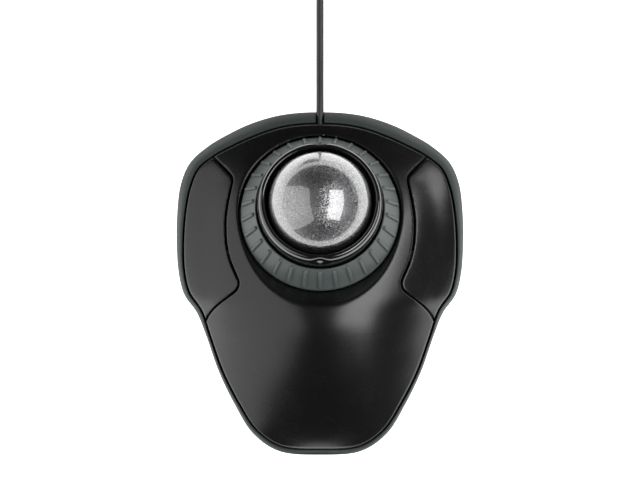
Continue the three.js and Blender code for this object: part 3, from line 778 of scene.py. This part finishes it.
def make_plug():
    """The grip, grooved on both broad faces, with a ridged neck that thins towards the cable."""
    low, high = low_high("plug_overmould")
    y, z = (low[1] + high[1]) / 2, (low[2] + high[2]) / 2
    grip = rounded_box("grip", GRIP_SIZE, (low[0] + GRIP_SIZE[0] / 2, y, z), 1.6, steps=5)
    for k in range(GROOVES):
        for face in (1, -1):
            groove_centre = (low[0] + 6 + GROOVE_PITCH * k, y, z + face * 4.05)
            cut(grip, rounded_box("groove", GROOVE_SIZE, groove_centre, 0.2))
    neck = [(0, high[0] - 9), (3.1, high[0] - 9)]
    for k in range(NECK_RIDGES):
        start = high[0] - 7.4 + RIDGE_PITCH * k
        ridge, groove = 2.9 - 0.2 * k, 2.2 - 0.1 * k
        neck += [(ridge, start), (ridge, start + 1.1), (groove, start + 1.25), (groove, start + 1.7)]
    neck += [(2.0, high[0]), (0, high[0])]
    along_x = Matrix.Translation((0, y, z)) @ Matrix.Rotation(math.pi / 2, 4, "Y")
    relief = turned("relief", neck, 48, along_x, closed=False)
    return join("plug_grip", [grip, relief])


plug_grip = place(make_plug(), "housing", "black_rubber", "plug_overmould")


def make_plug_shell():
    """A thin metal sleeve with two windows in its upper face."""
    low, high = low_high("plug_shell")
    middle, size = (low + high) / 2, high - low
    shell = rounded_box("plug_metal_shell", size, middle, 0.5, steps=4)
    cut(shell, rounded_box("hole", (size[0] + 2, size[1] - 0.7, size[2] - 0.7), middle, 0.3))
    for side in (1, -1):
        window = (middle[0] - 1.5, middle[1] + side * 2.6, middle[2] + size[2] / 2)
        cut(shell, rounded_box("window", (2.4, 2.1, 1.4), window, 0.15))
    return shell


plug_shell = place(make_plug_shell(), "housing", "steel", "plug_shell")

# ---------------------------------------------------------------- materials


class Nodes:
    """A material's node tree, built by name."""

    def __init__(self, name):
        self.material = bpy.data.materials.new(name)
        self.material.use_nodes = True
        self.tree = self.material.node_tree
        self.shader = self.tree.nodes["Principled BSDF"]
        self.coordinates = self.add("ShaderNodeTexCoord").outputs["Object"]

    def add(self, kind, inputs=(), **settings):
        node = self.tree.nodes.new(kind)
        for key, value in settings.items():
            setattr(node, key, value)
        for key, value in dict(inputs).items():
            if isinstance(value, bpy.types.NodeSocket):
                self.tree.links.new(value, node.inputs[key])
            else:
                node.inputs[key].default_value = value
        return node

    def set(self, **values):
        for key, value in values.items():
            self.shader.inputs[key.replace("_", " ")].default_value = value

    def feed(self, socket, output):
        self.tree.links.new(output, self.shader.inputs[socket])

    def noise(self, scale, detail=3, roughness=0.5):
        inputs = {"Vector": self.coordinates, "Scale": scale, "Detail": detail, "Roughness": roughness}
        return self.add("ShaderNodeTexNoise", inputs).outputs["Fac"]

    def ramp(self, factor, low, high, start=0.3, end=0.7):
        node = self.add("ShaderNodeValToRGB", {"Fac": factor})
        for element, position, colour in zip(node.color_ramp.elements, (start, end), (low, high)):
            element.position = position
            element.color = (*colour, 1)
        return node.outputs["Color"]

    def range(self, factor, low, high):
        inputs = {"Value": factor, "From Min": 0.25, "From Max": 0.75, "To Min": low, "To Max": high}
        return self.add("ShaderNodeMapRange", inputs).outputs["Result"]

    def vector(self, operation, inputs):
        return self.add("ShaderNodeVectorMath", inputs, operation=operation).outputs[0]

    def bump(self, height, distance):
        inputs = {"Height": height, "Distance": distance, "Strength": 1.0}
        return self.add("ShaderNodeBump", inputs).outputs["Normal"]


COLOUR_DRIFT = 0.12


def moulded(name, colour, roughness, grain=0.00002, grain_scale=2600, spread=0.04, **shader):
    """Moulded plastic or rubber: fine eroded texture, slow colour drift and handling polish."""
    nodes = Nodes(name)
    slow = nodes.noise(35, 4)
    low = tuple(c * (1 - COLOUR_DRIFT) for c in colour)
    high = tuple(c * (1 + COLOUR_DRIFT) for c in colour)
    nodes.feed("Base Color", nodes.ramp(slow, low, high))
    nodes.feed("Roughness", nodes.range(nodes.noise(90, 5), roughness - spread, roughness + spread))
    fine = nodes.noise(grain_scale, 2, 0.6)
    nodes.feed("Normal", nodes.bump(fine, grain))
    nodes.set(**shader)
    return nodes.material


def metal(name, colour, roughness, stretch=(1, 1, 1)):
    """Plated metal with drawn scratches."""
    nodes = Nodes(name)
    mapping = nodes.add("ShaderNodeMapping", {"Vector": nodes.coordinates, "Scale": stretch})
    drawn = {"Vector": mapping.outputs[0], "Scale": 900, "Detail": 4}
    scratches = nodes.add("ShaderNodeTexNoise", drawn).outputs["Fac"]
    nodes.feed("Base Color", nodes.ramp(nodes.noise(120), tuple(c * 0.85 for c in colour), colour))
    nodes.feed("Roughness", nodes.range(scratches, roughness - 0.08, roughness + 0.1))
    nodes.feed("Normal", nodes.bump(scratches, 0.00001))
    nodes.set(Metallic=1.0)
    return nodes.material


# Flakes to the metre, how far they lean out of the surface, and their darkest and lightest colour.
FLAKE_SCALE = 3400.0
FLAKE_TILT = 0.36
FLAKE_DARK = (0.10, 0.10, 0.103)
FLAKE_LIGHT = (0.32, 0.32, 0.326)


def speckled_lacquer():
    """Dark pearl base full of fine silver flakes under clear lacquer."""
    nodes = Nodes("speckled_lacquer")
    flakes = nodes.add("ShaderNodeTexVoronoi", {"Vector": nodes.coordinates, "Scale": FLAKE_SCALE})
    channels = nodes.add("ShaderNodeSeparateColor", {"Color": flakes.outputs["Color"]})
    colour = nodes.ramp(channels.outputs["Red"], FLAKE_DARK, FLAKE_LIGHT, 0.2, 1.0)
    nodes.feed("Base Color", colour)
    middle = (0.5, 0.5, 0.5)
    centred = nodes.vector("SUBTRACT", {0: flakes.outputs["Color"], 1: middle})
    scaled = nodes.vector("SCALE", {0: centred, "Scale": FLAKE_TILT})
    normal = nodes.add("ShaderNodeNewGeometry").outputs["Normal"]
    tilted = nodes.vector("ADD", {0: normal, 1: scaled})
    nodes.feed("Normal", nodes.vector("NORMALIZE", {0: tilted}))
    nodes.feed("Roughness", nodes.range(channels.outputs["Green"], 0.34, 0.46))
    nodes.set(Metallic=1.0, Coat_Weight=1.0, Coat_Roughness=0.03, Coat_IOR=1.85)
    return nodes.material


def circuit_board():
    """Green solder mask over faint lines of copper."""
    nodes = Nodes("circuit_board")
    mask, copper = (0.02, 0.12, 0.045, 1), (0.05, 0.22, 0.08, 1)
    colours = {"Color1": mask, "Color2": mask, "Mortar": copper}
    inputs = {"Vector": nodes.coordinates, "Scale": 260.0, "Mortar Size": 0.03, **colours}
    tracks = nodes.add("ShaderNodeTexBrick", inputs)
    nodes.feed("Base Color", tracks.outputs["Color"])
    nodes.feed("Roughness", nodes.range(nodes.noise(200), 0.3, 0.45))
    nodes.feed("Normal", nodes.bump(tracks.outputs["Fac"], 0.00003))
    return nodes.material


def clear_lens():
    """Clear moulded plastic."""
    nodes = Nodes("clear_lens")
    nodes.feed("Roughness", nodes.range(nodes.noise(300), 0.03, 0.1))
    nodes.feed("Base Color", nodes.ramp(nodes.noise(60), (0.8, 0.86, 0.9), (0.92, 0.96, 1)))
    nodes.set(Transmission_Weight=0.9, IOR=1.49)
    return nodes.material


SLOT_MATERIALS = {
    "soft_black": moulded(
        "soft_black", (0.0025, 0.0025, 0.0026), 0.27, grain=0.000008, grain_scale=3200, spread=0.02,
    ),
    "bumper_plastic": moulded("bumper_plastic", (0.040, 0.0475, 0.0457), 0.6, Specular_IOR_Level=0.12),
    "ring_plastic": moulded("ring_plastic", (0.072, 0.085, 0.082), 0.4, grain=0.00001),
    "gloss_black": moulded(
        "gloss_black", (0.004, 0.004, 0.0045), 0.09, grain=0.000001, spread=0.02, Specular_IOR_Level=1.0,
    ),
    "ball_lacquer": speckled_lacquer(),
    "inner_plastic": moulded("inner_plastic", (0.014, 0.015, 0.016), 0.55),
    "clear_plastic": clear_lens(),
    "chip_black": moulded("chip_black", (0.012, 0.012, 0.013), 0.6, grain_scale=5000),
    "circuit_board": circuit_board(),
    "white_plastic": moulded("white_plastic", (0.68, 0.65, 0.58), 0.4),
    "label": moulded("label_film", (0.36, 0.37, 0.37), 0.35, grain=0.000004),
    "black_rubber": moulded("black_rubber", (0.012, 0.012, 0.012), 0.62, grain=0.00003),
    "foot_rubber": moulded("foot_rubber", (0.018, 0.018, 0.018), 0.8, grain=0.00004, grain_scale=1800),
    "cable_jacket": moulded("cable_jacket", (0.010, 0.010, 0.0105), 0.5, grain=0.00001),
    "steel": metal("plated_steel", (0.58, 0.59, 0.61), 0.28, (1, 6, 6)),
    "bearing_ceramic": moulded("ruby", (0.34, 0.012, 0.03), 0.08, grain=0.000002, Coat_Weight=0.5),
}


def dress(obj, material):
    obj.data.materials.clear()
    obj.data.materials.append(material)


def material_slots():
    slots = {part["node"]: part["material_slot"] for part in frame["record"]["subparts"]}
    return {name: slots[name] for name in frame["nodes"]}


for node, slot_name in material_slots().items():
    holder = frame["nodes"][node]
    if not holder.material_slots:
        holder.data.materials.append(None)
    for held in holder.material_slots:
        held.link = "OBJECT"
        held.material = SLOT_MATERIALS[slot_name]

for piece in bpy.data.objects:
    if "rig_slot" in piece:
        dress(piece, SLOT_MATERIALS[piece["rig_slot"]])

# ---------------------------------------------------------------- studio

FLOOR_RADIUS = 900
FLOOR_SIDES = 96
FLOOR_GLOW = 1.35
ROOM_LIGHT = 0.045


def make_floor():
    """A round white table that glows a little, so that it stays evenly white."""
    angles = np.arange(FLOOR_SIDES) * 2 * math.pi / FLOOR_SIDES
    rim = [(FLOOR_RADIUS * math.cos(a), FLOOR_RADIUS * math.sin(a), 0) for a in angles]
    vertices = [(0, 0, 0), *rim]
    faces = [(0, k + 1, (k + 1) % FLOOR_SIDES + 1) for k in range(FLOOR_SIDES)]
    floor = add_object("table_top", vertices, faces)
    nodes = Nodes("white_table")
    nodes.set(Base_Color=(0.85, 0.85, 0.85, 1), Roughness=0.6)
    nodes.set(Emission_Color=(1, 1, 1, 1), Emission_Strength=FLOOR_GLOW)
    nodes.feed("Normal", nodes.bump(nodes.noise(400), 0.00001))
    dress(floor, nodes.material)


make_floor()


def softbox(name, lean, distance, size, power, along=0.0):
    """An area light aimed at the ball; lean is its angle from straight up, towards +X.

    Its size is its width across, towards +X, and its length along Y. Sizes and distances are in metres.
    """
    angle = math.radians(lean)
    data = bpy.data.lights.new(name, "AREA")
    data.shape = "RECTANGLE"
    data.size_y, data.size = size
    data.energy = power
    light = bpy.data.objects.new(name, data)
    target = BALL * MM
    light.location = target + Vector((math.sin(angle) * distance, along, math.cos(angle) * distance))
    light.rotation_euler = (light.location - target).to_track_quat("Z", "Y").to_euler()
    bpy.context.collection.objects.link(light)


softbox("right_softbox", 36, 0.6, (0.36, 0.74), 4.6, along=-0.04)
softbox("left_softbox", -57, 0.6, (0.9, 1.05), 4.6, along=-0.08)

world = bpy.data.worlds.new("studio")
bpy.context.scene.world = world
world.use_nodes = True
backdrop = world.node_tree.nodes["Background"]
# Dim for light that falls on the object, white where the camera sees past the table.
path = world.node_tree.nodes.new("ShaderNodeLightPath")
mix = world.node_tree.nodes.new("ShaderNodeMix")
mix.data_type = "RGBA"
world.node_tree.links.new(path.outputs["Is Camera Ray"], mix.inputs["Factor"])
mix.inputs["A"].default_value = (ROOM_LIGHT, ROOM_LIGHT, ROOM_LIGHT, 1)
mix.inputs["B"].default_value = (1, 1, 1, 1)
world.node_tree.links.new(mix.outputs["Result"], backdrop.inputs["Color"])
bpy.context.scene.view_settings.view_transform = "Standard"

# ---------------------------------------------------------------- last update

bpy.context.view_layer.update()
